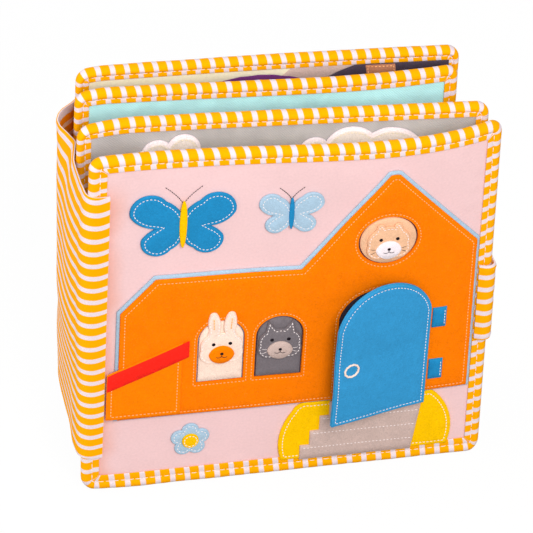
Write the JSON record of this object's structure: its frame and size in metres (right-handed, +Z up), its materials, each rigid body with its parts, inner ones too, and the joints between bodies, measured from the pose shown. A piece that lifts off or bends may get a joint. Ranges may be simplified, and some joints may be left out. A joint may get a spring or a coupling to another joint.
{
  "type": "crinkle cloth book",
  "caption": "Soft cloth book with padded striped-edge leaves on a cloth spine, a felt cottage with an opening door and finger puppets, and a closing strap.",
  "frame": {"origin": "middle of the footprint, on the surface that the book stands on", "axes": "+Z up, -Y towards the reader who faces the front cover, spine at -X, fore-edge at +X"},
  "size_m": [0.2074, 0.0992, 0.2],
  "materials": {
    "stripe": "yellow and white striped woven cotton",
    "pink_cotton": "plain woven cotton, matte",
    "grey_cotton": "plain woven cotton, matte",
    "mint_cotton": "plain woven cotton, matte",
    "sand_cotton": "plain woven cotton, matte",
    "wadding": "soft polyester wadding",
    "crinkle_film": "matte plastic film",
    "orange_felt": "brushed wool felt",
    "light_orange_felt": "brushed wool felt",
    "red_felt": "brushed wool felt",
    "blue_felt": "brushed wool felt",
    "pale_blue_felt": "brushed wool felt",
    "yellow_felt": "brushed wool felt",
    "taupe_felt": "brushed wool felt",
    "charcoal_felt": "brushed wool felt",
    "purple_felt": "brushed wool felt",
    "cream_felt": "brushed wool felt",
    "white_felt": "brushed wool felt",
    "grey_felt": "brushed wool felt",
    "tan_felt": "brushed wool felt",
    "hook_tape": "woven hook-and-loop tape"
  },
  "bodies": {
    "back": {"back_cover_back_cloth": "mint_cotton", "back_cover_wadding": "wadding", "back_cover_crinkle_film": "crinkle_film", "back_cover_front_cloth": "sand_cotton", "back_cover_binding": "stripe", "spine_rear_panel": "stripe", "back_loop_patch": "hook_tape", "sand_hill": "taupe_felt", "purple_hill": "purple_felt", "charcoal_hill": "charcoal_felt"},
    "third_leaf": {"third_leaf_back_cloth": "grey_cotton", "third_leaf_wadding": "wadding", "third_leaf_front_cloth": "mint_cotton", "third_leaf_binding": "stripe", "spine_middle_panel": "stripe"},
    "second_leaf": {"second_leaf_back_cloth": "pink_cotton", "second_leaf_wadding": "wadding", "second_leaf_front_cloth": "grey_cotton", "second_leaf_binding": "stripe", "spine_front_panel": "stripe", "left_bush": "white_felt", "right_bush": "white_felt"},
    "front_cover": {"front_cover_back_cloth": "sand_cotton", "front_cover_wadding": "wadding", "front_cover_crinkle_film": "crinkle_film", "front_cover_front_cloth": "pink_cotton", "front_cover_binding": "stripe", "spine_front_wrap": "stripe", "cottage_backing": "pale_blue_felt", "cat_window_lining": "charcoal_felt", "attic_window_lining": "charcoal_felt", "doorway_lining": "charcoal_felt", "cottage_wall": "orange_felt", "annex_wall": "light_orange_felt", "annex_roof_band": "red_felt", "porch": "yellow_felt", "porch_steps": "taupe_felt", "door_lower_tab": "blue_felt", "door_upper_tab": "blue_felt", "big_butterfly": "blue_felt", "small_butterfly": "pale_blue_felt", "flower_petals": "pale_blue_felt", "flower_heart": "yellow_felt", "strap_base": "stripe"},
    "door": {"door_back": "blue_felt", "door_front": "blue_felt", "door_ring": "cream_felt"},
    "strap": {"strap_band": "stripe", "strap_hook_patch": "hook_tape"},
    "rabbit": {"rabbit_body": "cream_felt", "rabbit_head": "cream_felt", "rabbit_muzzle": "light_orange_felt"},
    "cat": {"cat_body": "grey_felt", "cat_head": "grey_felt", "cat_muzzle": "taupe_felt"},
    "mouse": {"mouse_body": "tan_felt", "mouse_head": "tan_felt", "mouse_muzzle": "white_felt"}
  },
  "joints": [
    {"name": "third_leaf_turn", "type": "hinge", "parent": "back", "child": "third_leaf", "pos_m": [-0.09571, 0.02727, 0.1], "axis": [0, 0, -1], "range_deg": [-2, 80]},
    {"name": "second_leaf_turn", "type": "hinge", "parent": "third_leaf", "child": "second_leaf", "pos_m": [-0.09781, -0.00003, 0.1], "axis": [0, 0, -1], "range_deg": [-6, 80]},
    {"name": "front_cover_turn", "type": "hinge", "parent": "second_leaf", "child": "front_cover", "pos_m": [-0.09631, -0.02823, 0.1], "axis": [0, 0, -1], "range_deg": [-1.5, 160]},
    {"name": "door_swing", "type": "hinge", "parent": "front_cover", "child": "door", "pos_m": [0.07177, -0.03437, 0.03991], "axis": [0.0004, -0.0333, 0.9994], "range_deg": [-10, 125]},
    {"name": "strap_swing", "type": "hinge", "parent": "front_cover", "child": "strap", "pos_m": [0.10364, -0.02257, 0.0935], "axis": [0, 0, -1], "range_deg": [-3, 170]},
    {"name": "rabbit_pull", "type": "slide", "parent": "front_cover", "child": "rabbit", "axis": [0.0115, -0.9999, 0], "range_m": [0, 0.04]},
    {"name": "cat_pull", "type": "slide", "parent": "front_cover", "child": "cat", "axis": [0.0115, -0.9999, 0], "range_m": [0, 0.04]},
    {"name": "mouse_pull", "type": "slide", "parent": "front_cover", "child": "mouse", "axis": [0.0115, -0.9999, 0], "range_m": [0, 0.04]}
  ]
}
